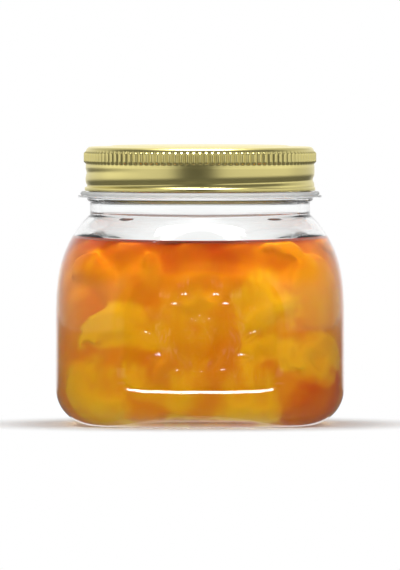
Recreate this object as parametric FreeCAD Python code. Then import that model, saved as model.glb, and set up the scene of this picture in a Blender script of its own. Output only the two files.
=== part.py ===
"""Square glass storage jar of fruit preserve, closed with a knurled metal screw cap.

Units are millimetres.  +Z is up, the jar stands on z = 0, its axis is the Z axis and the
face with the recessed panel looks along -Y.  Each function returns one solid:

  jar_glass   rounded-square body that turns round at the shoulder, with a recessed arched
              panel, a neck, a collar, a transfer bead, a plain finish under the cap, and a
              pushed-up base with a flat bearing ring
  preserve    what fills the jar up to the fill level, face to face with the glass
  lid         sheet-metal screw cap that sits on the rim, with a knurled band
"""
import math
import os

import FreeCAD
import Part

# ---- body of the jar ----
body_width = 106.5            # across two opposite faces
body_squareness = 4.0         # superellipse exponent of the body: 2 is a circle
base_squareness = 3.3         # the same at the bearing ring, which is rounder
heel_radius = 14.0            # roll from the side wall to the base
straight_height = 34.4        # the side wall is upright up to here
neck_base_height = 77.7       # the shoulder ends and the neck begins here
shoulder_power = 3.5          # how late the shoulder turns in: larger is squarer
wall = 3.2                    # glass, measured across the side wall
base_thickness = 5.2          # glass under the preserve, above the bearing ring
inner_heel_radius = 11.0      # roll from the inner wall to the inner floor
push_up_height = 1.9          # how far the middle of the base is lifted
bearing_ring_width = 3.4      # flat ring that the jar stands on
push_up_slope_run = 7.0       # width of the slope between the ring and the lifted middle
push_up_shoulder = 0.8        # share of the lift that is reached half-way up the slope

# ---- recessed panel on the -Y face, its outline given in the plane of the face's middle ----
panel_depth = 1.5             # of the panel below the face that it follows
panel_half_width = 34.7
panel_bottom_height = 12.3
panel_corner_radius = 10.0
panel_top_height = 64.0
panel_arch_height = 24.0      # the arched part of the outline
panel_arch_squareness = 2.3   # superellipse exponent of the arch
panel_border_slope = 0.5      # depth gained for each millimetre inward
panel_outward_reach = 2.0     # the cutter's ends, in front of and behind the face's middle
panel_inward_reach = 4.4

# ---- neck and finish ----
bore_radius = 36.9
neck_wall = 3.8
neck_height = 4.8
collar_stand_out = 1.2        # beyond the neck
collar_height = 2.0
bead_stand_out = 3.5          # beyond the neck
bead_height = 1.7
shoulder_inner_drop = 0.35    # the inner shoulder meets the bore lower, by this share of the neck's wall
finish_wall = 3.5             # glass of the finish, under the cap
finish_height = 16.2          # from the top of the bead to the rim
rim_round = 0.9

# ---- preserve ----
fill_drop = 10.4              # from the foot of the neck down to the fill level

# ---- cap ----
sheet = 0.3                   # metal
cap_play = 1.5                # between the finish and the inside of the skirt
cap_lift = 0.25               # between the bead and the skirt's lower edge
cap_edge_radius = 2.3         # roll from the top to the skirt
cap_crown = 0.5               # how far the middle of the top is raised
cap_crown_slope_run = 2.5
hem_height = 1.1              # rolled lower edge
hem_stand_out = 0.45
hem_bulge = 0.11              # how far the rolled edge rounds out
knurl_count = 116
knurl_depth = 0.8
knurl_height = 4.2
knurl_drop = 2.3              # from the top of the cap to the knurled band
knurl_end_slope = 0.5         # run-out at each end of the ridges
knurl_gap_share = 0.18        # flat gap between two ridges, as a share of the pitch
knurl_flank_share = 0.18      # each sloping flank, as a share of the pitch

# ---- accuracy of the formula surfaces ----
points_per_section = 48
points_per_arch = 17
heel_steps = 7
shoulder_steps = 11
shoulder_overrun = 1.06       # the shoulder surface runs on a little inside the neck or bore

# ---- sizes that follow ----
half_width = body_width / 2
base_half_width = half_width - heel_radius
inner_half_width = half_width - wall
neck_radius = bore_radius + neck_wall
finish_radius = bore_radius + finish_wall
fill_height = neck_base_height - fill_drop
collar_base_height = neck_base_height + neck_height
bead_base_height = collar_base_height + collar_height
bead_top_height = bead_base_height + bead_height
rim_height = bead_top_height + finish_height
bore_foot_height = neck_base_height - neck_wall * shoulder_inner_drop
cap_inner_radius = finish_radius + cap_play
cap_outer_radius = cap_inner_radius + sheet
cap_base_height = bead_top_height + cap_lift
cap_top_height = rim_height + sheet
knurl_radius = cap_outer_radius + knurl_depth
panel_arch_base_height = panel_top_height - panel_arch_height


def point(radius, height):
    """A point of a profile that is turned about the Z axis."""
    return FreeCAD.Vector(radius, 0, height)


def superellipse_wire(half, squareness, height):
    """Closed smooth outline |x/half|^n + |y/half|^n = 1 at one height."""
    points = []
    for index in range(points_per_section):
        angle = 2 * math.pi * index / points_per_section
        cosine, sine = math.cos(angle), math.sin(angle)
        spread = abs(cosine) ** squareness + abs(sine) ** squareness
        reach = half / spread ** (1 / squareness)
        points.append(FreeCAD.Vector(reach * cosine, reach * sine, height))
    even = [index / points_per_section for index in range(points_per_section + 1)]
    curve = Part.BSplineCurve()
    curve.interpolate(Points=points, PeriodicFlag=True, Parameters=even)
    return Part.Wire([curve.toShape()])


def loft(sections):
    """Solid through superellipse sections given as (half width, squareness, height)."""
    wires = [superellipse_wire(*section) for section in sections]
    return Part.makeLoft(wires, True, False)


def heel_sections(half, radius, low, squareness_low):
    """Quarter-round roll from a floor at height low out to the upright wall."""
    sections = []
    for step in range(heel_steps + 1):
        turn = step / heel_steps * math.pi / 2
        squareness = squareness_low + (body_squareness - squareness_low) * math.sin(turn)
        reach = half - radius + radius * math.sin(turn)
        sections.append((reach, squareness, low + radius * (1 - math.cos(turn))))
    return sections


def shoulder_sections(half, neck, low, high):
    """Shoulder that leaves the upright wall tangentially and turns round at the neck."""
    sections = []
    shares = [step / shoulder_steps for step in range(1, shoulder_steps + 1)]
    for share in shares + [shoulder_overrun]:
        reach = neck + (half - neck) * (1 - share ** shoulder_power)
        squareness = 2 + (body_squareness - 2) * max(0, 1 - share ** 2)
        sections.append((reach, squareness, low + (high - low) * share))
    return sections


def side_sections(half, low, high):
    """Upright wall between the heel and the shoulder, without its lower end."""
    middle = (low + high) / 2
    return [(half, body_squareness, middle), (half, body_squareness, high)]


def turned(edges):
    """Solid turned about the Z axis from a closed profile in the XZ plane."""
    face = Part.Face(Part.Wire(edges))
    return face.revolve(FreeCAD.Vector(0, 0, 0), FreeCAD.Vector(0, 0, 1), 360)


def polyline(points):
    """Straight edges from each point to the next."""
    return [Part.LineSegment(a, b).toShape() for a, b in zip(points, points[1:])]


def body_form(inset=0):
    """Outside of the body from the bearing ring to the foot of the neck, or a form inside it."""
    half = half_width - inset
    heel = heel_sections(half, heel_radius - inset, inset, base_squareness)
    side = side_sections(half, heel_radius, straight_height)
    shoulder = shoulder_sections(half, neck_radius - inset, straight_height, neck_base_height)
    return loft(heel + side + shoulder)


def cavity():
    """Inside of the jar from the floor to above the rim."""
    heel = heel_sections(inner_half_width, inner_heel_radius, base_thickness, base_squareness)
    side = side_sections(inner_half_width, base_thickness + inner_heel_radius, straight_height)
    shoulder = shoulder_sections(inner_half_width, bore_radius, straight_height, bore_foot_height)
    body = loft(heel + side + shoulder)
    bore = Part.makeCylinder(bore_radius, rim_height - straight_height,
                             FreeCAD.Vector(0, 0, straight_height))
    return body.fuse(bore)


def push_up():
    """Hollow under the base, inside the bearing ring."""
    mouth = base_half_width - bearing_ring_width
    return loft([
        (mouth, base_squareness, 0),
        (mouth - push_up_slope_run / 2, base_squareness, push_up_height * push_up_shoulder),
        (mouth - push_up_slope_run, base_squareness, push_up_height),
    ])


def neck_form():
    """Neck, collar, transfer bead and finish, turned as one piece."""
    collar = neck_radius + collar_stand_out
    bead = neck_radius + bead_stand_out
    bead_round = bead_height / 2
    collar_round = collar_height / 2
    edges = polyline([
        point(0, rim_height),
        point(0, straight_height),
        point(neck_radius, straight_height),
        point(neck_radius, collar_base_height),
        point(collar - collar_round, collar_base_height),
    ])
    edges.append(Part.Arc(point(collar - collar_round, collar_base_height),
                          point(collar, collar_base_height + collar_round),
                          point(collar - collar_round, bead_base_height)).toShape())
    edges += polyline([
        point(collar - collar_round, bead_base_height),
        point(bead - bead_round, bead_base_height),
    ])
    edges.append(Part.Arc(point(bead - bead_round, bead_base_height),
                          point(bead, bead_base_height + bead_round),
                          point(bead - bead_round, bead_top_height)).toShape())
    corner = rim_round * (1 - math.sqrt(0.5))
    edges += polyline([
        point(bead - bead_round, bead_top_height),
        point(finish_radius, bead_top_height),
        point(finish_radius, rim_height - rim_round),
    ])
    edges.append(Part.Arc(point(finish_radius, rim_height - rim_round),
                          point(finish_radius - corner, rim_height - corner),
                          point(finish_radius - rim_round, rim_height)).toShape())
    edges += polyline([
        point(finish_radius - rim_round, rim_height),
        point(0, rim_height),
    ])
    return turned(edges)


def panel_outline(depth):
    """Arched outline of the panel's border at one depth behind the plane of the face's middle."""
    inset = depth / panel_border_slope
    half = panel_half_width - inset
    bottom = panel_bottom_height + inset
    radius = panel_corner_radius - inset
    rise = panel_arch_height - inset
    corner = radius * (1 - math.sqrt(0.5))

    def spot(x, z):
        return FreeCAD.Vector(x, depth - half_width, z)

    arch_points = []
    for index in range(points_per_arch):
        angle = math.pi * index / (points_per_arch - 1)
        cosine, sine = math.cos(angle), math.sin(angle)
        power = panel_arch_squareness
        reach = (abs(cosine) ** power + abs(sine) ** power) ** (-1 / power)
        arch_points.append(spot(half * reach * cosine, panel_arch_base_height + rise * reach * sine))
    arch = Part.BSplineCurve()
    arch.interpolate(Points=arch_points,
                     InitialTangent=FreeCAD.Vector(0, 0, 1), FinalTangent=FreeCAD.Vector(0, 0, -1))
    return Part.Wire([
        arch.toShape(),
        Part.LineSegment(spot(-half, panel_arch_base_height), spot(-half, bottom + radius)).toShape(),
        Part.Arc(spot(-half, bottom + radius), spot(-half + corner, bottom + corner),
                 spot(-half + radius, bottom)).toShape(),
        Part.LineSegment(spot(-half + radius, bottom), spot(half - radius, bottom)).toShape(),
        Part.Arc(spot(half - radius, bottom), spot(half - corner, bottom + corner),
                 spot(half, bottom + radius)).toShape(),
        Part.LineSegment(spot(half, bottom + radius), spot(half, panel_arch_base_height)).toShape(),
    ])


def panel_cutter():
    """Block with sloping sides, hollowed so that the panel follows the curve of the face."""
    outlines = [panel_outline(-panel_outward_reach), panel_outline(panel_inward_reach)]
    return Part.makeLoft(outlines, True, True).cut(body_form(panel_depth))


def jar_glass():
    outside = body_form().fuse(neck_form()).removeSplitter()
    return outside.cut(panel_cutter()).cut(cavity()).cut(push_up())


def preserve():
    """The lower part of the cavity, up to the fill level."""
    span = 2 * body_width
    below = Part.makeBox(span, span, fill_height, FreeCAD.Vector(-span / 2, -span / 2, 0))
    return cavity().common(below)


def cap_shell():
    """Sheet-metal cap: raised middle, rolled edge, skirt and hemmed lower edge."""
    radius = cap_edge_radius
    corner = radius * (1 - math.sqrt(0.5))
    inner_radius = radius - sheet
    inner_corner = inner_radius * (1 - math.sqrt(0.5))
    crown_foot = bore_radius - cap_crown_slope_run
    crown_edge = crown_foot - cap_crown_slope_run
    hem_radius = cap_outer_radius + hem_stand_out
    hem_top = cap_base_height + hem_height
    crown_top = cap_top_height + cap_crown
    edges = polyline([
        point(0, crown_top - sheet),
        point(0, crown_top),
        point(crown_edge, crown_top),
        point(crown_foot, cap_top_height),
        point(cap_outer_radius - radius, cap_top_height),
    ])
    edges.append(Part.Arc(point(cap_outer_radius - radius, cap_top_height),
                          point(cap_outer_radius - corner, cap_top_height - corner),
                          point(cap_outer_radius, cap_top_height - radius)).toShape())
    edges += polyline([
        point(cap_outer_radius, cap_top_height - radius),
        point(cap_outer_radius, hem_top + hem_stand_out),
        point(hem_radius, hem_top),
    ])
    edges.append(Part.Arc(point(hem_radius, hem_top),
                          point(hem_radius + hem_bulge, (hem_top + cap_base_height) / 2),
                          point(hem_radius, cap_base_height)).toShape())
    edges += polyline([
        point(hem_radius, cap_base_height),
        point(cap_inner_radius, cap_base_height),
        point(cap_inner_radius, rim_height - inner_radius),
    ])
    edges.append(Part.Arc(point(cap_inner_radius, rim_height - inner_radius),
                          point(cap_inner_radius - inner_corner, rim_height - inner_corner),
                          point(cap_inner_radius - inner_radius, rim_height)).toShape())
    edges += polyline([
        point(cap_inner_radius - inner_radius, rim_height),
        point(crown_foot, rim_height),
        point(crown_edge, crown_top - sheet),
        point(0, crown_top - sheet),
    ])
    return turned(edges)


def knurled_band():
    """Ring of upright ridges round the skirt, with flat crests and sloping flanks."""
    top = cap_top_height - knurl_drop
    bottom = top - knurl_height
    root = cap_inner_radius + sheet / 2
    inside = cap_inner_radius + sheet / 4
    pitch = 2 * math.pi / knurl_count
    crest_start = knurl_gap_share + knurl_flank_share
    crest_end = 1 - knurl_flank_share
    spots = []
    for ridge in range(knurl_count):
        for share, radius in ((0, root), (knurl_gap_share, root),
                              (crest_start, knurl_radius), (crest_end, knurl_radius)):
            angle = (ridge + share) * pitch
            spots.append(FreeCAD.Vector(radius * math.cos(angle), radius * math.sin(angle), bottom))
    band = Part.Face(Part.makePolygon(spots + spots[:1])).extrude(FreeCAD.Vector(0, 0, knurl_height))
    blank = turned(polyline([
        point(inside, bottom),
        point(cap_outer_radius, bottom),
        point(knurl_radius, bottom + knurl_end_slope),
        point(knurl_radius, top - knurl_end_slope),
        point(cap_outer_radius, top),
        point(inside, top),
        point(inside, bottom),
    ]))
    return band.common(blank)


def lid():
    return cap_shell().fuse(knurled_band())


def main():
    os.makedirs("parts", exist_ok=True)
    for build in (jar_glass, preserve, lid):
        solid = build()
        solid.exportStep(f"parts/{build.__name__}.step")


main()
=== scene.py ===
"""Looks of a square glass storage jar of fruit preserve with a gold screw cap.

Lengths are millimetres unless a name says otherwise, and MM turns them into Blender's metres.
+Z is up and the panel face looks along -Y.  The glass, the syrup, the fruit and the cap are
meshes worked out from formulas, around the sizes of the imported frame.
"""
import math

import bpy
import numpy as np
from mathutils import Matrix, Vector
from mathutils.kdtree import KDTree


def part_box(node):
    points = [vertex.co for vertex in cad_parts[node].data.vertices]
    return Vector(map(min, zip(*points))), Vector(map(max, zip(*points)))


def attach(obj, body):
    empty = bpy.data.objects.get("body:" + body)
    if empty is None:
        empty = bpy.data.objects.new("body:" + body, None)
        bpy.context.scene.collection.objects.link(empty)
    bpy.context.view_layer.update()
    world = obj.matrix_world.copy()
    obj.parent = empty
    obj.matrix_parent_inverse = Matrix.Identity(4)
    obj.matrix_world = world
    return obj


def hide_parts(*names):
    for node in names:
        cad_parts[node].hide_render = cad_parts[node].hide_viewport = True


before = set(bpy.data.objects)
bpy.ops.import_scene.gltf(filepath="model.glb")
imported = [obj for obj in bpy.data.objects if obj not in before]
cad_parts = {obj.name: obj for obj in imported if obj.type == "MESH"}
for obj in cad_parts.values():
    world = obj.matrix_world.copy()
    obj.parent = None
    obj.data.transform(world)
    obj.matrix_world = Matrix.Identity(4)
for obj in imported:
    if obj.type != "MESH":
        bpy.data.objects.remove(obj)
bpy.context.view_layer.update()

MM = 0.001


def box_mm(node):
    """Lowest and highest corner of a CAD node in millimetres, to a hundredth."""
    return [np.round(np.array(corner) / MM, 2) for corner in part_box(node)]


# ---- sizes from the frame ----
glass_high = box_mm("jar_glass")[1]
fill_low, fill_high = box_mm("preserve")
cap_low, cap_high = box_mm("lid")
half_width = glass_high[0]
rim_height = glass_high[2]
inner_half_width = fill_high[0]
floor_height = fill_low[2]
fill_height = fill_high[2]
knurl_radius = cap_high[0]
cap_base_height = cap_low[2]
crown_height = cap_high[2]

# ---- jar ----
squareness = 4.0              # superellipse exponent of the body
base_squareness = 3.3
heel_radius = 14.0
inner_heel_radius = 11.0
inner_flat = inner_half_width - inner_heel_radius
straight_height = 34.4
shoulder_power = 3.5
push_up_height = 1.9
push_up_run = 7.0
push_up_power = 2.32
bearing_ring_width = 3.4
neck_height = 4.8
neck_fillet = 0.5
collar_height = 2.0
collar_stand_out = 1.2
collar_round = 0.9
bead_height = 1.7
bead_stand_out = 3.5
bead_round = 0.79
bead_foot_width = 0.4         # narrow foot that lifts the bead off the collar
bead_foot_height = 0.1
bead_foot_fillet = 0.25
finish_height = 16.2
rim_round = 0.9
neck_wall = 3.8
finish_wall = 3.5
shoulder_inner_drop = 0.35
bore_radius = 36.9
neck_radius = bore_radius + neck_wall
bead_radius = neck_radius + bead_stand_out
finish_radius = bore_radius + finish_wall
bead_top_height = rim_height - finish_height
bead_base_height = bead_top_height - bead_height
collar_base_height = bead_base_height - collar_height
neck_base_height = collar_base_height - neck_height
bore_foot_height = neck_base_height - neck_wall * shoulder_inner_drop
thread_pitch = 5.0
thread_height = 1.0
thread_half_width = 0.95
thread_low = bead_top_height + 4.0
thread_high = rim_height - 3.0
thread_fade = 1.0             # its ends fade out this far to both sides of those heights
bead_margin = 1.4             # the milky bead is what stands out from the neck by more than this
corner_thickening = 0.025     # at its corners the dry shoulder's inside is drawn in by this share

# ---- recessed panel, its outline given in the plane of the face's middle ----
panel_depth = 1.9
panel_half_width = 34.7
panel_bottom_height = 12.3
panel_corner_radius = 10.0
panel_top_height = 64.0
panel_arch_height = 24.0
panel_arch_squareness = 2.3
panel_side_slope = 0.42       # the border falls this steeply at the sides and the arch
panel_foot_slope = 0.88
panel_foot_reach = 7.0        # the steeper foot eases into the sides over this height
panel_foot_hold = 0.4         # share of that height that keeps the foot's full slope
panel_softness = 0.12         # how far the border's edges are rounded
panel_margin = 6.0            # the recess is looked for up to this far outside its outline

# ---- embossed wreath ----
wreath_height = 36.0
wreath_radius = 15.5
relief_depth = 1.05
relief_slope = 0.92
sprig_start = -74.0           # where a sprig starts and ends round the wreath, in degrees from sideways
sprig_end = 58.0
stem_half_width = 0.75
stem_fade_start = 60.0        # the stem fades out between these angles
stem_fade_end = 72.0
leaf_pairs = 6
leaf_length = 9.6
leaf_width = 4.6
leaf_lean = 38.0              # a leaf leans away from the stem by this angle
leaf_stagger = 4.0            # the two of a pair stand this many degrees before and after it
leaf_taper = 0.035            # each pair is smaller by this share
vein_half_width = 0.45
vein_depth = 0.5              # share of the relief
petal_reach = 6.2
petal_notch = 0.38            # share of the reach that the gaps between petals take away
button_radius = 2.4
button_groove_half_width = 0.5
button_groove_depth = 0.8     # share of the relief

# ---- preserve ----
wall_overlap = 0.15           # the syrup reaches this far into the glass
meniscus_height = 0.8
meniscus_run = 1.0            # over this distance from the wall it sinks to about a third
meniscus_insets = (0.4, 0.8, 1.3, 1.9, 2.6, 3.6)
fruit_clearance = 0.35        # between fruit and the wall or the surface of the syrup

# ---- fruit, its slices and bowls as they are at size 1 ----
slice_bend = 18.0             # radius of a slice's middle line
slice_spread = 60.0           # a slice runs this many degrees to both sides of its middle
slice_depth = 11.0
slice_thickness = 9.0
bowl_radius = 14.0
bowl_depth = 14.0
bowl_hollow = 5.0
bulge_spacing = 16.0
bulge_height = 1.1
bulge_waves = 5
bulge_sum = 2.2               # all waves together are about this much stronger than one
fruit_count = 46
fruit_spacing = 19.0
fruit_tries = 6000
fruit_wall_room = 8.0         # scattered pieces keep their middles this far off
fruit_floor_room = 6.0
fruit_surface_room = 5.0
fruit_sizes = (1.2, 1.7)
fruit_tones = (0.2, 1.0)
slice_share = 0.6
pulp_inset = 2.6
pulp_floor_gap = 1.5
pulp_surface_gap = 0.8
pulp_bulge_spacing = 22.0
pulp_bulge_height = 1.6
pulp_tone = 0.35
surface_painted_shade = 0.45           # painted shade: the fruit is painted this much darker towards the surface of the syrup
surface_reach = 13.0          # from this deep to the next
surface_full = 2.0
fruit_voxel = 0.95
fruit_smoothing = 3
tone_points = 5
tone_blend = 0.3
tone_range = 0.75

# ---- cap ----
sheet = 0.3
knurl_count = 116
knurl_depth = 0.8
knurl_drop = 1.5
knurl_height = 4.9
knurl_ease = 0.9              # height over which a ridge's ends rise
knurl_valley = 0.05           # shares of a ridge's wave where its flanks start and end
knurl_crest = 0.75
cap_edge_radius = 1.9
hem_height = 1.1
hem_stand_out = 0.45
hem_fillet = 0.3
hem_round = 0.35
crown_rise = 0.5
crown_slope_run = 2.5
crown_fillet = 2.0
crown_flat_run = 9.0
crown_rows = (4, 10, 16)      # radii of the rows across the middle of the crown
cap_radius = knurl_radius - knurl_depth
cap_top_height = crown_height - crown_rise
cap_inner_radius = cap_radius - sheet
cap_thread_rise = 0.15        # the skirt's thread stands out this much, and its grooves go in
cap_thread_groove = 0.5
cap_groove_height = 89.3      # middle of the groove on the panel side
cap_groove_width = 1.15
cap_groove_end = 94.0
cap_groove_fade = 1.6         # it fades out over this height below its end
skirt_ease_low = 0.8
skirt_ease_high = 1.2
cap_inner_corner = 2.0

# ---- finishes ----
glass_index = 1.5
syrup_index = 1.36
syrup_side_index = 1.06       # the syrup's side lies inside the wetted glass, and 1.5 x 1.06 / 1.17
wetted_index = 1.17           # is syrup_index
clear_gloss = 0.7             # share of the mirror light that the glass and syrup keep face-on
wetted_blur = 0.06            # cloudiness where the syrup wets the wall
syrup_blur = 0.2              # and of the syrup's side
surface_blur = 0.03
bead_blur = 0.5
bead_clearness = 0.45
glass_tint = (0.985, 0.995, 0.992)
syrup_colour = (0.969, 0.66, 0.0)
syrup_density = 43.0
fruit_ramp = [(0.0, (0.53, 0.08, 0.001)), (0.45, (0.69, 0.22, 0.002)), (1.0, (0.80, 0.42, 0.006))]
blotch_strength = 0.5
gold = (0.90, 0.79, 0.31)
gold_blur = 0.28

# ---- studio, angles in degrees ----
plain_light = 0.65            # the world's strength for everything but mirror light and what is seen
floor_reach = 3000.0
floor_grey = 0.9
floor_fade_start = 50.0       # from here to the next the camera's floor fades to white
floor_fade_end = 100.0
camera_distance = 5000.0
camera_tilt = 1.3
camera_aim_height = 51.5
picture_height = 210.9        # what the picture shows at the jar from top to bottom
sensor_width = 36.0
screen_distance = 900.0
screen_half_angle = 20.0      # the screen reaches the floor this far to both sides of its middle
screen_turn = -4.0
screen_soft = 9.0             # softness of the screen's edges
screen_side_height = 26.0     # beside its middle part the screen starts above this
screen_top = 64.0
screen_side_end = 108.0       # past this the screen comes down to the floor again, half open
screen_end = 158.0
screen_opening = 0.75
screen_past_cover = 0.5
screen_cover = 0.9
mat_cover = 0.85
mat_clear = 50.0              # the mat leaves this much round the jar's axis free
mat_fade = 400.0              # at the sides the mat fades out from here to its edge
mat_reach = 2900.0
mat_lift = 0.3

# ---- meshes ----
body_columns = 480
panel_density = 4.0           # columns across the panel stand this much closer
fillet_steps = 6
glass_row_spacing = 1.1
cap_row_spacing = 0.34
columns_per_knurl = 8
cap_columns = knurl_count * columns_per_knurl
heel_rows = 60
flat_heel_rows = 46           # of these lower rows of the heel only every fourth is used
# rows up the body's side: the height that they reach, and in how many steps
side_rows = [(17.5, 8), (20, 3), (55, 117), (64, 10), (neck_base_height, 14)]
wet_rows = 23
syrup_rows = 21
floor_rows = (0.3, 0.6, 0.85)
push_up_rows = (0.12, 0.3, 0.5, 0.7, 0.88)
bearing_rows = (0.15, 0.5, 0.85)
syrup_top_rows = (0.85, 0.68, 0.5, 0.32, 0.15)
screen_columns = 113
screen_rows = 40
mat_rows = 50

WETTED, BEAD = 1, 2           # material slots of the glass, where 0 is bare glass
SURFACE = 1                   # and of the syrup, where 0 is its side


def smooth_step(value, low, high):
    """0 up to low and 1 from high, with a soft change between them."""
    share = np.clip((value - low) / (high - low), 0, 1)
    return share * share * (3 - 2 * share)


def eased(value, edge, softness):
    """0 before the edge and 1 after it, with a soft change that reaches this far to both sides."""
    return smooth_step(value, edge - softness, edge + softness)


def smooth_max(first, second, softness):
    """The larger of two values, with a rounded change-over."""
    return 0.5 * (first + second + np.sqrt((first - second) ** 2 + softness ** 2))


def superellipse(angles, half, power):
    """Distance from the axis of |x/half|^n + |y/half|^n = 1 at each angle."""
    spread = np.abs(np.cos(angles)) ** power + np.abs(np.sin(angles)) ** power
    return half / spread ** (1 / power)


def body_angles():
    """Angles round the jar, closer together across the panel face."""
    fine = np.linspace(-1.5 * math.pi, 0.5 * math.pi, 14401)
    radius = superellipse(fine, half_width, squareness)
    x, y = radius * np.cos(fine), radius * np.sin(fine)
    step = np.hypot(np.diff(x), np.diff(y))
    middle = (x[1:] + x[:-1]) / 2
    front = (y[1:] < 0) * (1 - smooth_step(np.abs(middle), panel_half_width,
                                           panel_half_width + panel_margin))
    travel = np.concatenate([[0], np.cumsum(step * (1 + (panel_density - 1) * front))])
    return np.interp(np.arange(body_columns) / body_columns * travel[-1], travel, fine)


def outline(angles, reach, height):
    """One closed ring of points, from its distance from the axis, one for all angles or one for each."""
    return np.column_stack([reach * np.cos(angles), reach * np.sin(angles),
                            np.full(len(angles), height)])


def ring(angles, half, power, height):
    """One closed superellipse as an array of points."""
    return outline(angles, superellipse(angles, half, power), height)


def stitched(name, rings, start=None, end=None):
    """Mesh object through closed rings of points.  A ring may have a whole number of times as many
    points as its neighbour.  start and end are the points that close the two ends."""
    points = np.vstack(rings)
    firsts = np.cumsum([0] + [len(r) for r in rings])
    faces = []
    for index in range(len(rings) - 1):
        a, b = len(rings[index]), len(rings[index + 1])
        low, high = firsts[index], firsts[index + 1]
        if a == b:
            here = np.arange(a)
            after = (here + 1) % a
            quads = np.column_stack([low + here, low + after, high + after, high + here])
            faces += quads.tolist()
            continue
        coarse, fine = min(a, b), max(a, b)
        times = fine // coarse
        for spot in range(coarse):
            nearby = [(spot * times + k) % fine for k in range(times + 1)]
            if a > b:
                faces.append([low + k for k in nearby] + [high + (spot + 1) % coarse, high + spot])
            else:
                faces.append([low + spot, low + (spot + 1) % coarse] + [high + k for k in nearby[::-1]])
    extra = []
    for centre, first, count, flip in ((start, firsts[0], len(rings[0]), True),
                                       (end, firsts[-2], len(rings[-1]), False)):
        if centre is None:
            continue
        hub = len(points) + len(extra)
        extra.append(centre)
        for k in range(count):
            edge = [first + k, first + (k + 1) % count]
            faces.append((edge[::-1] if flip else edge) + [hub])
    if extra:
        points = np.vstack([points, extra])
    return mesh_object(name, points, faces)


def mesh_object(name, points, faces):
    """Smooth-shaded object through points in millimetres."""
    mesh = bpy.data.meshes.new(name)
    mesh.from_pydata((np.asarray(points) * MM).tolist(), [], faces)
    mesh.validate()
    mesh.shade_smooth()
    piece = bpy.data.objects.new(name, mesh)
    bpy.context.scene.collection.objects.link(piece)
    return piece


def rounded_path(corners):
    """Points along a polyline of (radius, height, fillet) corners, with each fillet as an arc."""
    path = []
    for index, (r, z, fillet) in enumerate(corners):
        here = np.array([r, z], float)
        if fillet == 0 or index in (0, len(corners) - 1):
            path.append(here)
            continue
        before = np.array(corners[index - 1][:2], float) - here
        after = np.array(corners[index + 1][:2], float) - here
        before /= np.linalg.norm(before)
        after /= np.linalg.norm(after)
        opening = math.acos(np.clip(before @ after, -1, 1))
        back = fillet / math.tan(opening / 2)
        middle = (before + after) / np.linalg.norm(before + after)
        centre = here + middle * fillet / math.sin(opening / 2)
        first, last = here + before * back - centre, here + after * back - centre
        turn = math.atan2(first[0] * last[1] - first[1] * last[0], first @ last)
        for k in range(fillet_steps + 1):
            angle = turn * k / fillet_steps
            cosine, sine = math.cos(angle), math.sin(angle)
            path.append(centre + [first[0] * cosine - first[1] * sine,
                                  first[0] * sine + first[1] * cosine])
    return path


def divided(path, spacing):
    """The same path with no step longer than the spacing."""
    points = [path[0]]
    for a, b in zip(path, path[1:]):
        count = max(1, math.ceil(np.linalg.norm(b - a) / spacing))
        points += [a + (b - a) * k / count for k in range(1, count + 1)]
    return points


# ---- walls of the jar ----
OUTER = dict(half=half_width, floor=0.0, heel=heel_radius, neck=neck_radius, top=neck_base_height)
INNER = dict(half=inner_half_width, floor=floor_height, heel=inner_heel_radius,
             neck=bore_radius, top=bore_foot_height)


def wall_section(wall, heights):
    """Half width and squareness of a wall's outline at each height."""
    heights = np.asarray(heights, float)
    rise = np.clip((heights - wall["floor"]) / wall["heel"], 0, 1)
    roll = np.sqrt(1 - (1 - rise) ** 2)
    half = wall["half"] - wall["heel"] * (1 - roll)
    power = base_squareness + (squareness - base_squareness) * roll
    share = np.clip((heights - straight_height) / (wall["top"] - straight_height), 0, 1)
    shoulder = wall["neck"] + (wall["half"] - wall["neck"]) * (1 - share ** shoulder_power)
    above = heights > straight_height
    half = np.where(above, shoulder, half)
    power = np.where(above, 2 + (squareness - 2) * (1 - share ** 2), power)
    return half, power


def wall_rings(wall, angles, heights, grow=0.0):
    """A wall's outlines at the heights, all of them wider by grow."""
    halves, powers = wall_section(wall, heights)
    return [ring(angles, half + grow, power, height)
            for half, power, height in zip(halves, powers, heights)]


def heel_heights(wall, steps):
    """Heights of the rows round a wall's heel, in equal turns."""
    turns = np.linspace(0, math.pi / 2, steps + 1)
    return wall["floor"] + wall["heel"] * (1 - np.cos(turns))


def rows_up(start, stages):
    """Heights above start, up to the height of each stage in its number of steps."""
    heights = []
    for height, steps in stages:
        heights.append(np.linspace(start, height, steps + 1)[1:])
        start = height
    return np.concatenate(heights)


def inner_heights(wall, top, rows):
    """Heights of an inner wall's rows from its floor to the top, so many above the straight side."""
    side = rows_up(wall["floor"] + wall["heel"], [(straight_height, 7), (top, rows)])
    return np.concatenate([heel_heights(wall, 14), side])


def panel_inset(x, z):
    """Distance inward from the panel's outline, negative outside it."""
    radius = panel_corner_radius
    arch_base = panel_top_height - panel_arch_height
    across = np.abs(x) - (panel_half_width - radius)
    below = panel_bottom_height + radius - z
    lower = np.hypot(np.maximum(across, 0), np.maximum(below, 0)) - radius
    lower += np.minimum(np.maximum(across, below), 0)
    power = panel_arch_squareness
    along = np.abs(x) / panel_half_width
    up = np.maximum(z - arch_base, 0) / panel_arch_height
    size = (along ** power + up ** power) ** (1 / power)
    slope = np.hypot(along ** (power - 1) / panel_half_width, up ** (power - 1) / panel_arch_height)
    upper = (size - 1) * size ** (power - 1) / np.maximum(slope, 1e-3)
    return -np.where(z > arch_base, upper, lower)


def panel_surface(x, y, z):
    """Where the recess puts the face: a border that slopes in, then a panel that follows the face."""
    up = smooth_step(z - panel_bottom_height, panel_foot_hold * panel_foot_reach, panel_foot_reach)
    slope = panel_foot_slope + (panel_side_slope - panel_foot_slope) * up
    border = -half_width + panel_inset(x, z) * slope
    floor = y + panel_depth - wreath_relief(x, z)
    return -smooth_max(-border, -floor, panel_softness)


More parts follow.
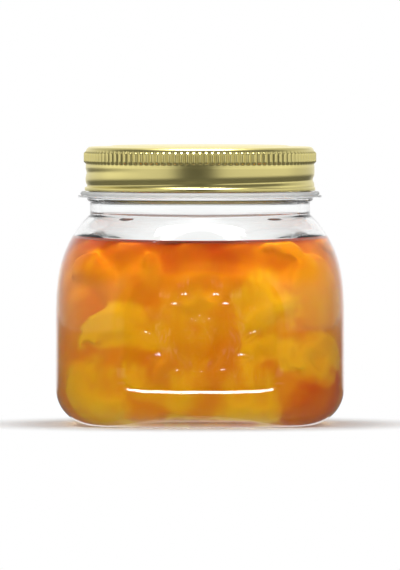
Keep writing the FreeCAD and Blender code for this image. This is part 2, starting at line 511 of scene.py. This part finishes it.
def chamfer(reach):
    """Height of a raised form whose edge slopes up, from the distance inside its outline."""
    return np.clip(reach * relief_slope, 0, relief_depth)


def wreath_relief(x, z):
    """Embossed wreath: two curved sprigs of pointed leaves round a plain eight-petal rosette."""
    relief = rosette(x, z)
    x = np.abs(x)
    for index, spot in enumerate(np.linspace(sprig_start, sprig_end, leaf_pairs)):
        for side in (-1, 1):
            lean = math.radians(spot + 90 - side * leaf_lean)
            size = 1 - leaf_taper * index
            angle = math.radians(spot + leaf_stagger * side)
            root = (wreath_radius * math.cos(angle), wreath_height + wreath_radius * math.sin(angle))
            relief = np.maximum(relief, leaf(x, z, root, lean, leaf_length * size, leaf_width * size))
    stem = np.abs(np.hypot(x, z - wreath_height) - wreath_radius)
    above = np.arctan2(z - wreath_height, x)
    stem_end = 1 - smooth_step(above, math.radians(stem_fade_start), math.radians(stem_fade_end))
    return np.maximum(relief, chamfer(stem_half_width - stem) * stem_end)


def leaf(x, z, root, lean, length, width):
    """Leaf with a vein along its middle."""
    along = (x - root[0]) * math.cos(lean) + (z - root[1]) * math.sin(lean)
    across = np.abs(-(x - root[0]) * math.sin(lean) + (z - root[1]) * math.cos(lean))
    share = np.clip(along / length, 0, 1)
    reach = 0.5 * width * np.sin(math.pi * share ** 0.8) - across
    vein = np.clip(1 - across / vein_half_width, 0, 1) * vein_depth * relief_depth
    return np.maximum(chamfer(reach) - vein, 0)


def rosette(x, z):
    """Eight petals round a button."""
    distance = np.hypot(x, z - wreath_height)
    angle = np.arctan2(z - wreath_height, x)
    notched = 1 - petal_notch + petal_notch * np.abs(np.cos(4 * angle))
    petals = chamfer(petal_reach * notched - distance)
    groove = np.clip(1 - np.abs(distance - button_radius) / button_groove_half_width, 0, 1)
    return petals * (1 - button_groove_depth * groove)


def recess(points):
    """Pushes the front of the body back to the panel surface."""
    x, y, z = points.T
    inside = (y < 0) & (panel_inset(x, z) > -panel_margin)
    pushed = smooth_max(y, panel_surface(x, y, z), panel_softness)
    points = points.copy()
    points[:, 1] = np.where(inside, pushed, y)
    return points


def neck_profile():
    """Radii and heights from the foot of the neck up over the finish and down the bore."""
    collar = neck_radius + collar_stand_out
    bead_low = bead_base_height + bead_foot_height
    corners = [
        (neck_radius, neck_base_height, 0),
        (neck_radius, collar_base_height, neck_fillet),
        (collar, collar_base_height, collar_round),
        (collar, bead_base_height, collar_round),
        (neck_radius + bead_foot_width, bead_low, bead_foot_fillet),
        (bead_radius, bead_low, bead_round),
        (bead_radius, bead_top_height, bead_round),
        (finish_radius, bead_top_height, neck_fillet),
        (finish_radius, rim_height, rim_round),
        (bore_radius, rim_height, rim_round),
        (bore_radius, bore_foot_height, 0),
    ]
    return divided(rounded_path(corners), glass_row_spacing)


def thread(angles, height):
    """How far the glass thread stands out from the finish at one height."""
    turns = (height - thread_low) / thread_pitch - angles / (2 * math.pi)
    nearest = np.abs(turns - np.round(turns)) * thread_pitch
    ends = eased(height, thread_low, thread_fade) * (1 - eased(height, thread_high, thread_fade))
    return thread_height * ends * np.exp(-(nearest / thread_half_width) ** 2)


def base_rings(angles):
    """Underside from the lifted middle out over the bearing ring."""
    edge = half_width - heel_radius
    mouth = edge - bearing_ring_width
    rings = []
    for share in push_up_rows:
        rings.append(ring(angles, (mouth - push_up_run) * share, base_squareness, push_up_height))
    for share in np.linspace(0, 1, 9):
        lift = push_up_height * (1 - share ** push_up_power)
        rings.append(ring(angles, mouth - push_up_run * (1 - share), base_squareness, lift))
    for share in bearing_rows:
        rings.append(ring(angles, mouth + bearing_ring_width * share, base_squareness, 0))
    return rings


def give_slots(piece, first_row, slot, other_rows=(), other_slot=0):
    """Material slots of a stitched body: slot from the first row of faces to the end, 0 below it."""
    slots = np.zeros(len(piece.data.polygons), np.int32)
    slots[first_row * body_columns:-2 * body_columns] = slot
    slots[-body_columns:] = slot
    for row in other_rows:
        slots[row * body_columns:(row + 1) * body_columns] = other_slot
    piece.data.polygons.foreach_set("material_index", slots)


def make_glass():
    """The jar's glass, from the middle of its underside round to the middle of its inner floor."""
    angles = body_angles()
    low = heel_heights(OUTER, heel_rows)
    heel = np.concatenate([low[:flat_heel_rows:4], low[flat_heel_rows:]])
    side = rows_up(heel_radius, side_rows)[:-1]
    outer = wall_rings(OUTER, angles, np.concatenate([heel, side]))
    rings = base_rings(angles) + [recess(points) for points in outer]
    bead_faces = []
    for radius, height in neck_profile():
        if radius > neck_radius + bead_margin:
            bead_faces.append(len(rings) - 1)
        on_finish = radius > finish_radius - 0.05 and height > bead_top_height
        stand_out = thread(angles, height) if on_finish else 0
        rings.append(outline(angles, radius + stand_out, height))
    dry = np.linspace(fill_height, bore_foot_height, 10)[1:-1]
    wet = inner_heights(INNER, fill_height, wet_rows)
    for points in wall_rings(INNER, angles, dry[::-1]):
        rise = (points[0, 2] - fill_height) / (bore_foot_height - fill_height)
        thick = corner_thickening * math.sin(math.pi * rise) * np.sin(2 * angles) ** 2
        points[:, :2] *= (1 - thick)[:, None]
        rings.append(points)
    wet_start = len(rings)
    rings += wall_rings(INNER, angles, wet[::-1])
    for share in floor_rows[::-1]:
        rings.append(ring(angles, inner_flat * share, base_squareness, floor_height))
    glass = stitched("glass_jar", rings, start=(0, 0, push_up_height), end=(0, 0, floor_height))
    give_slots(glass, wet_start, WETTED, bead_faces, BEAD)
    return glass


def make_syrup():
    """Clear amber syrup that fills the jar up to the fill level."""
    angles = body_angles()
    wall = dict(INNER, floor=floor_height - wall_overlap)
    top = fill_height + meniscus_height
    rings = [ring(angles, inner_flat * share, base_squareness, wall["floor"]) for share in floor_rows]
    rings += wall_rings(wall, angles, inner_heights(wall, top, syrup_rows), grow=wall_overlap)
    surface_start = len(rings) - 1
    half, power = (float(value) for value in wall_section(wall, top))
    for inset in meniscus_insets:
        height = fill_height + meniscus_height * math.exp(-inset / meniscus_run)
        rings.append(ring(angles, half - inset, power, height))
    for share in syrup_top_rows:
        rings.append(ring(angles, (half - meniscus_insets[-1]) * share, power, fill_height))
    syrup = stitched("syrup", rings, start=(0, 0, wall["floor"]), end=(0, 0, fill_height))
    give_slots(syrup, surface_start, SURFACE)
    return syrup


# ---- fruit ----
def closed_form(rings, poles):
    """Points and faces of a tube through equal rings of points, with a pole at each end."""
    rows, columns = len(rings), len(rings[0])
    first, last = rows * columns, rows * columns + 1
    faces = []
    for low in range(0, first - columns, columns):
        for k in range(columns):
            after = (k + 1) % columns
            faces.append([low + k, low + after, low + columns + after, low + columns + k])
    for k in range(columns):
        after = (k + 1) % columns
        faces.append([after, k, first])
        faces.append([first - columns + k, first - columns + after, last])
    return np.vstack([*rings, np.array(poles)]), faces


def fruit_slice(bend_radius, spread, depth, thickness):
    """Crescent of soft fruit: thick along its outer side, thin along its inner side."""
    columns, rows = 24, 30
    around = np.arange(columns) / columns * 2 * math.pi
    rings = []
    for row in range(1, rows + 1):
        share = row / (rows + 1)
        angle = (share - 0.5) * 2 * spread
        swell = math.sin(math.pi * share) ** 0.55
        outward = np.sign(np.cos(around)) * np.abs(np.cos(around)) ** 0.8 * depth / 2 * swell
        sideways = np.sin(around) * (0.72 + 0.28 * np.cos(around)) * thickness / 2 * swell
        reach = bend_radius + outward
        rings.append(np.column_stack([reach * math.cos(angle), reach * math.sin(angle), sideways]))
    tips = [(bend_radius * math.cos(side * spread), bend_radius * math.sin(side * spread), 0)
            for side in (-1, 1)]
    points, faces = closed_form(rings, tips)
    points[:, 0] -= bend_radius
    return points, faces


def fruit_half(radius, depth, hollow):
    """Half of a stone fruit: a thick bowl with a soft rim and the hollow that held the stone."""
    columns, rows = 30, 22
    around = np.arange(columns) / columns * 2 * math.pi
    rings = []
    for row in range(1, rows + 1):
        turn = row / (rows + 1) * math.pi
        reach = radius * math.sin(turn) ** 0.75
        height = -depth * 0.5 * np.sign(math.cos(turn)) * abs(math.cos(turn)) ** 0.7
        if height > 0:
            height -= depth * 0.22 * math.exp(-(reach / hollow) ** 4)
        rings.append(outline(around, reach, height))
    return closed_form(rings, [(0, 0, -depth * 0.5), (0, 0, depth * 0.28)])


def turned_by(points, yaw, pitch, roll):
    """Points turned about X by roll, then Y by pitch, then Z by yaw, all in degrees."""
    for axis, angle in ((0, roll), (1, pitch), (2, yaw)):
        cosine, sine = math.cos(math.radians(angle)), math.sin(math.radians(angle))
        a, b = [(1, 2), (2, 0), (0, 1)][axis]
        first = points[:, a] * cosine - points[:, b] * sine
        second = points[:, a] * sine + points[:, b] * cosine
        points = points.copy()
        points[:, a], points[:, b] = first, second
    return points


def uneven(points, random, size, amount):
    """Gentle bulges a few millimetres wide."""
    moved = points.copy()
    for _ in range(bulge_waves):
        wave = random.normal(size=3)
        wave *= 2 * math.pi / (size * random.uniform(0.5, 1.2)) / np.linalg.norm(wave)
        push = random.normal(size=3) * amount / bulge_sum
        moved += np.sin(points @ wave + random.uniform(0, 2 * math.pi))[:, None] * push
    return moved


def inside_jar(points):
    """Points pressed back to where the wall, the floor and the surface leave room."""
    points = points.copy()
    points[:, 2] = np.clip(points[:, 2], floor_height + fruit_clearance, fill_height - fruit_clearance)
    half, power = wall_section(INNER, points[:, 2])
    angles = np.arctan2(points[:, 1], points[:, 0])
    room = superellipse(angles, half - fruit_clearance, power)
    radius = np.hypot(points[:, 0], points[:, 1])
    shrink = np.minimum(1, room / np.maximum(radius, 1e-6))
    points[:, :2] *= shrink[:, None]
    return points


# Fruit that shows on the panel side: form, place of its middle, turns about Z, Y and X in degrees,
# size, and how pale it is.  A slice turned by 90 about X lies flat on the wall, and a half shows its
# hollow there, or its back when turned by -90.
SHOWN_FRUIT = [
    ("slice", (-27, -44, 38), (0, -86, 90), 1.25, 1.5),
    ("half", (23, -42, 43), (6, 10, -90), 0.85, 1.15),
    ("slice", (27, -45, 29), (4, -78, 90), 0.7, 1.15),
    ("half", (41, -37, 25), (38, 0, 90), 0.7, 0.8),
    ("half", (41, -35, 11), (35, 0, -90), 0.8, -0.2),
    ("slice", (0, -40, 60), (0, -88, 90), 1.1, 0.1),
    ("slice", (28, -38, 64), (10, -95, 80), 0.8, 0.8),
    ("half", (-36, -38, 15), (-30, 20, -90), 0.8, 0.9),
    ("half", (-2, -41, 36), (4, 0, -84), 1.15, 0.8),
    ("slice", (-8, -43, 16), (0, 84, 86), 1.2, 1.15),
    ("half", (17, -41, 14), (0, 30, -90), 0.85, 1.1),
    ("slice", (-35, -38, 54), (-24, -50, 85), 1.1, 0.35),
    ("half", (42, -36, 49), (30, 0, -90), 0.95, 0.5),
]


def fruit_places(random):
    """The fruit that shows, then more at random where there is room."""
    places = [(kind, np.array(spot, float), turns, size, tone)
              for kind, spot, turns, size, tone in SHOWN_FRUIT]
    reach = inner_half_width - fruit_wall_room
    low, high = floor_height + fruit_floor_room, fill_height - fruit_surface_room
    for _ in range(fruit_tries):
        if len(places) >= fruit_count:
            break
        spot = np.array([random.uniform(-reach, reach), random.uniform(-reach, reach),
                         random.uniform(low, high)])
        if min(np.linalg.norm(spot - other[1]) for other in places) < fruit_spacing:
            continue
        kind = "slice" if random.uniform() < slice_share else "half"
        places.append((kind, spot, tuple(random.uniform(0, 360, 3)), random.uniform(*fruit_sizes),
                       random.uniform(*fruit_tones)))
    return places


def pulp(columns, rows):
    """Soft broken-down fruit between the pieces, as one lumpy body set back from the wall."""
    angles = np.arange(columns) / columns * 2 * math.pi
    heights = np.linspace(floor_height + pulp_floor_gap, fill_height - pulp_surface_gap, rows)
    halves, powers = wall_section(INNER, heights)
    rings = [ring(angles, half - pulp_inset, power, height)
             for half, power, height in zip(halves, powers, heights)]
    return closed_form(rings, [(0, 0, heights[0]), (0, 0, heights[-1])])


def make_fruit():
    """Slices and halves of soft yellow fruit sunk in the syrup, with pulp between them, one mesh, with
    painted shade towards the surface of the syrup.
    """
    random = np.random.default_rng(11)
    forms = []
    body, body_faces = pulp(120, 40)
    body = uneven(body, random, pulp_bulge_spacing, pulp_bulge_height)
    forms.append((inside_jar(body), body_faces, pulp_tone))
    for kind, spot, turns, size, tone in fruit_places(random):
        if kind == "slice":
            form, faces = fruit_slice(slice_bend * size, math.radians(slice_spread),
                                      slice_depth * size, slice_thickness * size)
        else:
            form, faces = fruit_half(bowl_radius * size, bowl_depth * size, bowl_hollow * size)
        form = uneven(form, random, bulge_spacing * size, bulge_height)
        forms.append((inside_jar(turned_by(form, *turns) + spot), faces, tone))
    points, faces, tones = [], [], []
    start = 0
    for form, form_faces, tone in forms:
        points.append(form)
        faces += [[start + k for k in face] for face in form_faces]
        tones += [tone] * len(form)
        start += len(form)
    points = np.vstack(points)
    # painted shade: the tone is lowered towards the surface of the syrup, where the jar looks darker
    painted_shade_near_surface = smooth_step(points[:, 2], fill_height - surface_reach, fill_height - surface_full)
    tones = np.array(tones) - surface_painted_shade * painted_shade_near_surface
    fruit = mesh_object("fruit_pieces", points, faces)
    soften(fruit)
    paint_tones(fruit, points, tones)
    return fruit


def soften(piece):
    """Joins overlapping forms into one skin and rounds the creases between them."""
    remesh = piece.modifiers.new("skin", "REMESH")
    remesh.mode = "VOXEL"
    remesh.voxel_size = fruit_voxel * MM
    remesh.use_smooth_shade = True
    smooth = piece.modifiers.new("soft", "SMOOTH")
    smooth.factor = 0.5
    smooth.iterations = fruit_smoothing
    evaluated = piece.evaluated_get(bpy.context.evaluated_depsgraph_get())
    mesh = bpy.data.meshes.new_from_object(evaluated)
    piece.modifiers.clear()
    piece.data = mesh
    mesh.shade_smooth()


def paint_tones(piece, points, tones):
    """Paleness of each vertex, blended over the nearest points of the forms it was made from."""
    tree = KDTree(len(points))
    for index, point in enumerate(points):
        tree.insert(point * MM, index)
    tree.balance()
    blended = []
    for vertex in piece.data.vertices:
        near = tree.find_n(vertex.co, tone_points)
        weights = [1 / (distance + tone_blend * MM) for _, _, distance in near]
        total = sum(weight * tones[index] for weight, (_, index, _) in zip(weights, near))
        blended.append(tone_range * total / sum(weights))
    attribute = piece.data.attributes.new("tone", "FLOAT", "POINT")
    attribute.data.foreach_set("value", np.array(blended, np.float32))


# ---- cap ----
def cap_profile():
    """Radii and heights of the outside of the cap from its middle to its lower edge."""
    crown_foot = bore_radius - crown_slope_run
    corners = [
        (crown_foot - crown_slope_run - crown_flat_run, crown_height, 0),
        (crown_foot - crown_slope_run, crown_height, crown_fillet),
        (crown_foot, cap_top_height, crown_fillet),
        (cap_radius, cap_top_height, cap_edge_radius),
        (cap_radius, cap_base_height + hem_height + hem_stand_out, hem_fillet),
        (cap_radius + hem_stand_out, cap_base_height + hem_height, hem_fillet),
        (cap_radius + hem_stand_out, cap_base_height, hem_round),
        (cap_inner_radius, cap_base_height, 0),
    ]
    return divided(rounded_path(corners), cap_row_spacing)


def knurl(angles, height):
    """How far the ridges stand out at one height."""
    top = cap_top_height - knurl_drop
    bottom = top - knurl_height
    ends = smooth_step(height, bottom, bottom + knurl_ease)
    ends *= 1 - smooth_step(height, top - knurl_ease, top)
    wave = 0.5 + 0.5 * np.cos(angles * knurl_count)
    return knurl_depth * ends * smooth_step(wave, knurl_valley, knurl_crest)


def cap_thread(angles, height):
    """The thread pressed into the skirt: a soft groove that climbs to the right and fades out."""
    turns = (height - cap_groove_height) / thread_pitch - (angles + math.pi / 2) / (2 * math.pi)
    offset = (turns - np.round(turns)) * thread_pitch
    groove_height = height - offset
    fades = 1 - smooth_step(groove_height, cap_groove_end - cap_groove_fade, cap_groove_end)
    low = cap_base_height + hem_height
    high = cap_top_height - knurl_drop - knurl_height
    band = smooth_step(height, low, low + skirt_ease_low)
    band *= 1 - smooth_step(height, high - skirt_ease_high, high)
    groove = np.exp(-(offset / cap_groove_width) ** 2) * fades
    return (cap_thread_rise - (cap_thread_rise + cap_thread_groove) * groove) * band


def make_cap():
    """The cap, from the middle of its crown down its outside and up its inside."""
    angles = np.arange(cap_columns) / cap_columns * 2 * math.pi
    coarse = angles[::columns_per_knurl]
    rings = [outline(coarse, radius, crown_height) for radius in crown_rows]
    for radius, height in cap_profile():
        if radius > cap_radius - 0.05:
            radius += knurl(angles, height) + cap_thread(angles, height)
        rings.append(outline(angles, radius, height))
    inner_top = cap_top_height - sheet
    for height in np.linspace(cap_base_height, inner_top - cap_inner_corner, 12)[1:]:
        rings.append(outline(coarse, cap_inner_radius + cap_thread(coarse, height), height))
    bevel = 0.3 * cap_inner_corner
    rings.append(outline(coarse, cap_inner_radius - bevel, inner_top - bevel))
    rings.append(outline(coarse, cap_inner_radius - cap_inner_corner, inner_top))
    rings.append(outline(coarse, bore_radius - crown_slope_run, inner_top))
    rings.append(outline(coarse, bore_radius - 2 * crown_slope_run, crown_height - sheet))
    return stitched("screw_cap", rings, start=(0, 0, crown_height), end=(0, 0, crown_height - sheet))


# ---- materials ----
def new_material(name):
    """Material with its nodes, its links and its Principled shader."""
    material = bpy.data.materials.new(name)
    material.use_nodes = True
    nodes, links = material.node_tree.nodes, material.node_tree.links
    return material, nodes, links, nodes["Principled BSDF"]


def set_inputs(node, values):
    """Sets a node's own inputs by name."""
    for name, value in values.items():
        node.inputs[name].default_value = value


def noise(nodes, links, scale, detail):
    """Noise that stays on the piece."""
    coords = nodes.new("ShaderNodeTexCoord")
    node = nodes.new("ShaderNodeTexNoise")
    set_inputs(node, {"Scale": scale, "Detail": detail})
    links.new(coords.outputs["Object"], node.inputs["Vector"])
    return node.outputs["Fac"]


def add_bumps(material, scale, detail, strength, height):
    """Roughens a material with noise.  The height is in metres."""
    nodes, links = material.node_tree.nodes, material.node_tree.links
    bump = nodes.new("ShaderNodeBump")
    set_inputs(bump, {"Strength": strength, "Distance": height})
    links.new(noise(nodes, links, scale, detail), bump.inputs["Height"])
    links.new(bump.outputs["Normal"], nodes["Principled BSDF"].inputs["Normal"])


def mixed(nodes, links, share, first, second, output):
    """Shows the share of the second shader node, and for the rest the first."""
    mix = nodes.new("ShaderNodeMixShader")
    links.new(share, mix.inputs[0])
    links.new(first.outputs[0], mix.inputs[1])
    links.new(second.outputs[0], mix.inputs[2])
    links.new(mix.outputs[0], output.inputs["Surface"])


def clear_material(name, index, roughness=0.0, tint=(1, 1, 1), clearness=1.0):
    """Clear material that lets the light of the lamps pass straight through."""
    material, nodes, links, shader = new_material(name)
    set_inputs(shader, {
        "Base Color": (*tint, 1),
        "Transmission Weight": clearness,
        "Roughness": roughness,
        "IOR": index,
        "Specular Tint": (clear_gloss, clear_gloss, clear_gloss, 1),
    })
    open_to_lamps = nodes.new("ShaderNodeBsdfTransparent")
    path = nodes.new("ShaderNodeLightPath")
    mixed(nodes, links, path.outputs["Is Shadow Ray"], shader, open_to_lamps, nodes["Material Output"])
    return material


def glass_materials():
    """Bare glass with the faint waves of a pressed wall, the glass that the syrup wets, and the bead's."""
    bare = clear_material("clear_glass", glass_index, 0.0, glass_tint)
    add_bumps(bare, 60, 1.0, 0.03, 0.002)
    wetted = clear_material("wetted_glass", wetted_index, wetted_blur, glass_tint)
    bead = clear_material("bead_glass", glass_index, bead_blur, glass_tint, bead_clearness)
    return [bare, wetted, bead]


def syrup_materials():
    """The syrup's side, inside the glass, and its free surface, under air, round the same amber inside."""
    side = clear_material("amber_syrup", syrup_side_index, syrup_blur)
    surface = clear_material("syrup_surface", syrup_index, surface_blur)
    for material in (side, surface):
        nodes, links = material.node_tree.nodes, material.node_tree.links
        absorb = nodes.new("ShaderNodeVolumeAbsorption")
        set_inputs(absorb, {"Color": (*syrup_colour, 1), "Density": syrup_density})
        links.new(absorb.outputs["Volume"], nodes["Material Output"].inputs["Volume"])
    return [side, surface]


def fruit_material():
    """Soft fruit, whose colour runs from deep amber to pale gold with the tone of each place, which
    carries painted shade near the surface of the syrup.
    """
    material, nodes, links, shader = new_material("soft_fruit")
    tone = nodes.new("ShaderNodeAttribute")
    tone.attribute_name = "tone"
    mix = nodes.new("ShaderNodeMath")
    mix.operation = "MULTIPLY_ADD"
    mix.inputs[1].default_value = blotch_strength
    links.new(noise(nodes, links, 90, 4.0), mix.inputs[0])
    links.new(tone.outputs["Fac"], mix.inputs[2])
    ramp = nodes.new("ShaderNodeValToRGB")
    ramp.color_ramp.elements.new(0.5)
    for element, (spot, colour) in zip(ramp.color_ramp.elements, fruit_ramp):
        element.position = spot
        element.color = (*colour, 1)
    links.new(mix.outputs[0], ramp.inputs["Fac"])
    links.new(ramp.outputs["Color"], shader.inputs["Base Color"])
    set_inputs(shader, {
        "Subsurface Weight": 0.8,
        "Subsurface Scale": 0.0015,
        "Subsurface Radius": (1.0, 0.7, 0.4),
        "Roughness": 0.5,
        "Specular IOR Level": 0.0,
    })
    return material


def cap_material():
    """Gold lacquer over tinplate, with a fine grain."""
    material, _, _, shader = new_material("gold_lacquer")
    set_inputs(shader, {"Base Color": (*gold, 1), "Metallic": 1.0, "Roughness": gold_blur})
    add_bumps(material, 2500, 2.0, 0.12, 0.0001)
    return material


# ---- studio ----
def combined(nodes, links, operation, first, second):
    """Sum or product of two outputs, no more than 1."""
    node = nodes.new("ShaderNodeMath")
    node.operation = operation
    node.use_clamp = True
    links.new(first, node.inputs[0])
    links.new(second, node.inputs[1])
    return node.outputs[0]


def white_share(nodes, links, seen=None):
    """1 for camera, glossy and transmission rays, 0 for the rest.  Camera rays get seen, if given."""
    path = nodes.new("ShaderNodeLightPath")
    total = path.outputs["Is Camera Ray"]
    if seen is not None:
        total = combined(nodes, links, "MULTIPLY", seen, total)
    for kind in ("Is Glossy Ray", "Is Transmission Ray"):
        total = combined(nodes, links, "ADD", total, path.outputs[kind])
    return total


def make_world():
    """Plain light for the object, and white where the camera, glass or metal looks at the sky."""
    world = bpy.data.worlds.new("studio")
    bpy.context.scene.world = world
    world.use_nodes = True
    nodes, links = world.node_tree.nodes, world.node_tree.links
    nodes.clear()
    plain, white = (nodes.new("ShaderNodeBackground") for _ in range(2))
    for background, strength in ((plain, plain_light), (white, 1.0)):
        set_inputs(background, {"Color": (1, 1, 1, 1), "Strength": strength})
    mixed(nodes, links, white_share(nodes, links), plain, white, nodes.new("ShaderNodeOutputWorld"))


def make_floor():
    """White floor.  Near the jar the camera sees its plain surface, which takes the shadow."""
    corners = [(x * floor_reach, y * floor_reach, 0) for x, y in ((-1, -1), (1, -1), (1, 1), (-1, 1))]
    floor = mesh_object("floor", corners, [(0, 1, 2, 3)])
    material, nodes, links, shader = new_material("pale_floor")
    set_inputs(shader, {
        "Base Color": (floor_grey, floor_grey, floor_grey, 1),
        "Roughness": 0.9,
        "Specular IOR Level": 0.0,
    })
    coords = nodes.new("ShaderNodeTexCoord")
    far = nodes.new("ShaderNodeVectorMath")
    far.operation = "LENGTH"
    links.new(coords.outputs["Object"], far.inputs[0])
    fade = nodes.new("ShaderNodeMapRange")
    fade.interpolation_type = "SMOOTHSTEP"
    set_inputs(fade, {"From Min": floor_fade_start * MM, "From Max": floor_fade_end * MM})
    links.new(far.outputs["Value"], fade.inputs["Value"])
    share = white_share(nodes, links, fade.outputs[0])
    white = nodes.new("ShaderNodeEmission")
    mixed(nodes, links, share, shader, white, nodes["Material Output"])
    floor.data.materials.append(material)


def add_sheet(name, grid, cover):
    """Dark sheet through a grid of points, as opaque as cover says.  Only mirror light shows it."""
    rows, columns = cover.shape
    spots = np.arange(rows * columns).reshape(rows, columns)
    faces = np.stack([spots[:-1, :-1], spots[:-1, 1:], spots[1:, 1:], spots[1:, :-1]], axis=-1)
    sheet = mesh_object(name, grid.reshape(-1, 3), faces.reshape(-1, 4).tolist())
    attribute = sheet.data.attributes.new("cover", "FLOAT", "POINT")
    attribute.data.foreach_set("value", cover.ravel().astype(np.float32))
    material, nodes, links, shader = new_material(name)
    nodes.remove(shader)
    black = nodes.new("ShaderNodeEmission")
    black.inputs["Strength"].default_value = 0.0
    opening = nodes.new("ShaderNodeBsdfTransparent")
    share = nodes.new("ShaderNodeAttribute")
    share.attribute_name = "cover"
    mixed(nodes, links, share.outputs["Fac"], opening, black, nodes["Material Output"])
    sheet.data.materials.append(material)
    sheet.visible_camera = False
    sheet.visible_diffuse = False
    sheet.visible_shadow = False
    sheet.visible_transmission = False


def make_screen():
    """Screen bent round the panel side, and a mat on the floor in front of it, both with soft edges."""
    turns = np.linspace(-screen_end - screen_soft, screen_end + screen_soft, screen_columns)
    off_middle = np.abs(turns - screen_turn)
    beside = eased(off_middle, screen_half_angle, screen_soft)
    past = eased(off_middle, screen_side_end, screen_soft)
    ends = 1 - eased(np.abs(turns), screen_end, screen_soft)
    open_side = beside * (1 - (1 - screen_opening) * past)
    around = np.column_stack([np.sin(np.radians(turns)), -np.cos(np.radians(turns)), 0 * turns])
    rises = np.linspace(0, screen_top + screen_soft, screen_rows)[:, None]
    low = 1 - eased(rises, screen_side_height, screen_soft)
    high = eased(rises, screen_top, screen_soft)
    dome = screen_distance * around * np.cos(np.radians(rises))[:, :, None]
    dome[:, :, 2] = screen_distance * np.sin(np.radians(rises))
    upper_opening = 1 - (1 - screen_past_cover) * past * (1 - low)
    cover = screen_cover * ends * (1 - open_side * low) * (1 - high) * upper_opening
    add_sheet("screen", dome, cover)
    reaches = np.geomspace(mat_clear, mat_reach, mat_rows)[:, None]
    mat = reaches[:, :, None] * around
    mat[:, :, 2] = mat_lift
    far = smooth_step(reaches, mat_fade, mat_reach)
    add_sheet("mat", mat, mat_cover * ends * (1 - open_side * far))


def add_lamp(name, place, target, width, height, radiance, mirrored=True, lights=True):
    """Rectangular soft lamp, in metres.  Not mirrored, it is seen neither in mirror light nor through
    glass.  With lights off it gives those, but no plain light."""
    lamp = bpy.data.lights.new(name, "AREA")
    lamp.shape = "RECTANGLE"
    lamp.size, lamp.size_y = width, height
    lamp.energy = radiance * math.pi * width * height
    holder = bpy.data.objects.new(name, lamp)
    holder.location = place
    holder.rotation_euler = (Vector(target) - Vector(place)).to_track_quat("-Z", "Y").to_euler()
    holder.visible_glossy = mirrored
    holder.visible_transmission = mirrored
    holder.visible_diffuse = lights
    bpy.context.scene.collection.objects.link(holder)


def make_camera():
    """Camera in front of the panel, a little above it."""
    tilt = math.radians(camera_tilt)
    target = Vector((0, 0, camera_aim_height * MM))
    camera = bpy.data.cameras.new("camera")
    camera.sensor_width = sensor_width
    camera.lens = sensor_width * camera_distance / picture_height
    camera.clip_end = 50
    holder = bpy.data.objects.new("camera", camera)
    holder.location = target + Vector((0, -math.cos(tilt), math.sin(tilt))) * camera_distance * MM
    holder.rotation_euler = (target - holder.location).to_track_quat("-Z", "Y").to_euler()
    bpy.context.scene.collection.objects.link(holder)
    bpy.context.scene.camera = holder


def dress(piece, materials, slot, *nodes):
    """Gives a piece its materials, its body and the CAD nodes it stands for, which it hides.  The slot is
    not used.
    """
    for material in materials:
        piece.data.materials.append(material)
    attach(piece, "root")
    if nodes:
        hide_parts(*nodes)


dress(make_glass(), glass_materials(), "glass", "jar_glass")
dress(make_syrup(), syrup_materials(), "preserve", "preserve")
dress(make_fruit(), [fruit_material()], "preserve")
dress(make_cap(), [cap_material()], "cap_metal", "lid")
make_world()
make_floor()
make_screen()
add_lamp("overhead", (0, -0.152, 1.0), (0, -0.052, 0.012), 0.5, 0.2, 32, lights=False)
add_lamp("front", (0, -1.4, 0.2), (0, 0, 0.03), 1.2, 0.5, 4.1, mirrored=False)
add_lamp("back", (0, 1.4, 0.2), (0, 0, 0.03), 1.2, 0.5, 1.8, mirrored=False)
make_camera()
bpy.context.scene.view_settings.view_transform = "Standard"
